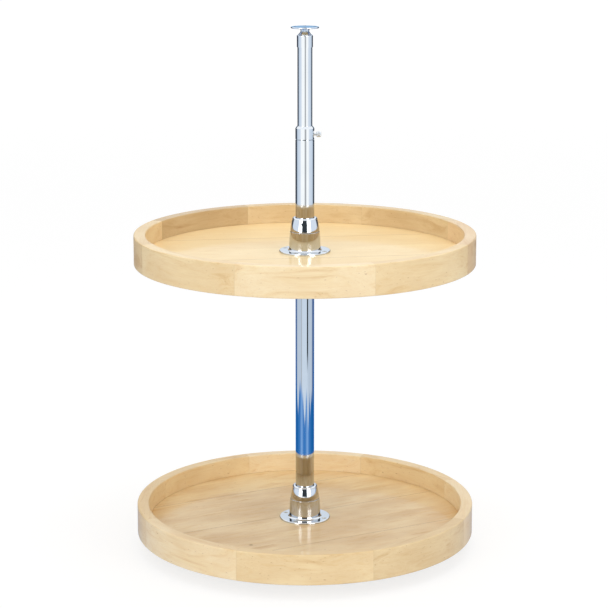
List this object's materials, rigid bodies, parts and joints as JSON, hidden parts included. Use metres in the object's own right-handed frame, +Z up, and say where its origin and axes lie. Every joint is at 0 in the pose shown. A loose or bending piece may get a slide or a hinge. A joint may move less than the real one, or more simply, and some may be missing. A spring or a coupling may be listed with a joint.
{
  "type": "two-tier rotating pantry shelf unit",
  "caption": "Full-round rotating shelf unit: rimmed maple trays clamped by flanged hubs to a telescoping chromed post that turns on a floor bearing and a top pivot.",
  "frame": {"origin": "centre of the floor plate's underside, on the post's axis", "axes": "+Z up the post, -Y towards the front of the picture, +X towards the thumb screw"},
  "size_m": [0.508, 0.508, 0.7851],
  "materials": {
    "solid_maple": "clear satin lacquer",
    "maple_plywood": "clear satin lacquer on maple veneer",
    "chromed_metal": "bright chrome plate",
    "zinc_plated_steel": "bright zinc plate",
    "bearing_steel": "ground and polished",
    "nickel_plated_screws": "nickel plate",
    "white_nylon": "moulded nylon",
    "brass_pad": "turned brass"
  },
  "bodies": {
    "root": {"floor_plate": "zinc_plated_steel", "pivot_stud": "zinc_plated_steel", "lower_race": "zinc_plated_steel"},
    "ball_cage": {"ball_cage": "white_nylon", "bearing_balls": "bearing_steel"},
    "shaft": {"upper_race": "zinc_plated_steel", "foot_plug": "white_nylon", "main_tube": "chromed_metal", "lock_collar": "chromed_metal"},
    "lock_pad": {"lock_pad": "brass_pad"},
    "thumb_screw": {"thumb_screw": "chromed_metal"},
    "upper_tube": {"upper_tube": "chromed_metal", "guide_bush": "white_nylon", "ferrule": "chromed_metal", "top_bush": "white_nylon"},
    "top_pivot": {"pivot_pin": "chromed_metal", "retaining_clip": "zinc_plated_steel", "top_plate": "chromed_metal"},
    "upper_tray": {"upper_floor": "maple_plywood", "upper_rim_1": "solid_maple", "upper_rim_2": "solid_maple", "upper_rim_3": "solid_maple", "upper_rim_4": "solid_maple", "upper_rim_5": "solid_maple", "upper_rim_6": "solid_maple", "upper_rim_7": "solid_maple", "upper_rim_8": "solid_maple", "upper_rim_splines": "solid_maple", "upper_hub": "chromed_metal", "upper_hub_collet": "white_nylon", "upper_hub_screws": "nickel_plated_screws"},
    "upper_hub_cap": {"upper_hub_cap": "chromed_metal"},
    "lower_tray": {"lower_floor": "maple_plywood", "lower_rim_1": "solid_maple", "lower_rim_2": "solid_maple", "lower_rim_3": "solid_maple", "lower_rim_4": "solid_maple", "lower_rim_5": "solid_maple", "lower_rim_6": "solid_maple", "lower_rim_7": "solid_maple", "lower_rim_8": "solid_maple", "lower_rim_splines": "solid_maple", "lower_hub": "chromed_metal", "lower_hub_collet": "white_nylon", "lower_hub_screws": "nickel_plated_screws"},
    "lower_hub_cap": {"lower_hub_cap": "chromed_metal"}
  },
  "joints": [
    {"name": "shaft_spin", "type": "hinge", "parent": "root", "child": "shaft", "pos_m": [0, 0, 0.0111], "axis": [0, 0, 1], "continuous": true},
    {"name": "cage_spin", "type": "hinge", "parent": "root", "child": "ball_cage", "pos_m": [0, 0, 0.0068], "axis": [0, 0, 1], "continuous": true},
    {"name": "lower_tray_height", "type": "slide", "parent": "shaft", "child": "lower_tray", "axis": [0, 0, 1], "range_m": [0, 0.1]},
    {"name": "upper_tray_height", "type": "slide", "parent": "shaft", "child": "upper_tray", "axis": [0, 0, 1], "range_m": [-0.15, 0.1]},
    {"name": "lower_cap_turn", "type": "hinge", "parent": "lower_tray", "child": "lower_hub_cap", "pos_m": [0, 0, 0.069], "axis": [0, 0, 1], "range_deg": [0, 90]},
    {"name": "upper_cap_turn", "type": "hinge", "parent": "upper_tray", "child": "upper_hub_cap", "pos_m": [0, 0, 0.482], "axis": [0, 0, 1], "range_deg": [0, 90]},
    {"name": "post_extension", "type": "slide", "parent": "shaft", "child": "upper_tube", "axis": [0, 0, 1], "range_m": [-0.11, 0.04]},
    {"name": "top_plate_swivel", "type": "hinge", "parent": "upper_tube", "child": "top_pivot", "pos_m": [0, 0, 0.7751], "axis": [0, 0, 1], "continuous": true},
    {"name": "thumb_screw_advance", "type": "slide", "parent": "shaft", "child": "lock_pad", "axis": [1, 0, 0], "range_m": [0, 0.0007]},
    {"name": "thumb_screw_turn", "type": "hinge", "parent": "lock_pad", "child": "thumb_screw", "pos_m": [0.014, 0, 0.6269], "axis": [1, 0, 0], "range_deg": [0, 365]}
  ],
  "couplings": [
    {"joint": "cage_spin", "follows": "shaft_spin", "ratio": 0.5},
    {"joint": "thumb_screw_turn", "follows": "thumb_screw_advance", "rad_per_m": 8976}
  ]
}
